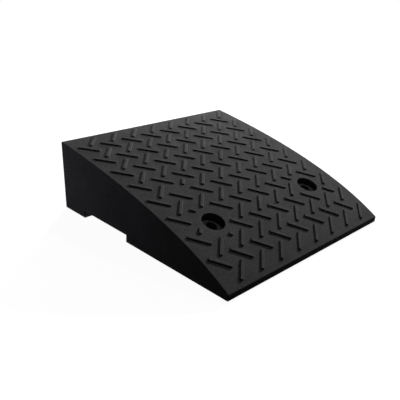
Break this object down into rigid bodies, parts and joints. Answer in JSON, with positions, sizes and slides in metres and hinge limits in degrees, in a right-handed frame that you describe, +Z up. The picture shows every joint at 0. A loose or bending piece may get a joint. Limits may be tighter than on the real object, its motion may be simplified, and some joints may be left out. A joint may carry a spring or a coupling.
{
  "type": "kerb ramp",
  "caption": "Kerb ramp: hollow ribbed moulding with a curved deck, raised tread bars, stepped fixing holes, a cross drain channel and rubber pads.",
  "frame": {"origin": "middle of the ground face, under the pads", "axes": "+X across the ramp to the right as seen from the road, +Y towards the kerb, +Z up"},
  "size_m": [0.5, 0.4999, 0.151],
  "materials": {
    "moulded_plastic": "black, finely grained, matte",
    "pad_rubber": "dark grey, matte"
  },
  "bodies": {
    "root": {"ramp_shell": "moulded_plastic", "rubber_pad_rear_outer_left": "pad_rubber", "rubber_pad_rear_outer_right": "pad_rubber", "rubber_pad_rear_inner_left": "pad_rubber", "rubber_pad_rear_inner_right": "pad_rubber", "rubber_pad_middle_left": "pad_rubber", "rubber_pad_middle_right": "pad_rubber", "rubber_pad_front_left": "pad_rubber", "rubber_pad_front_right": "pad_rubber"}
  },
  "joints": []
}
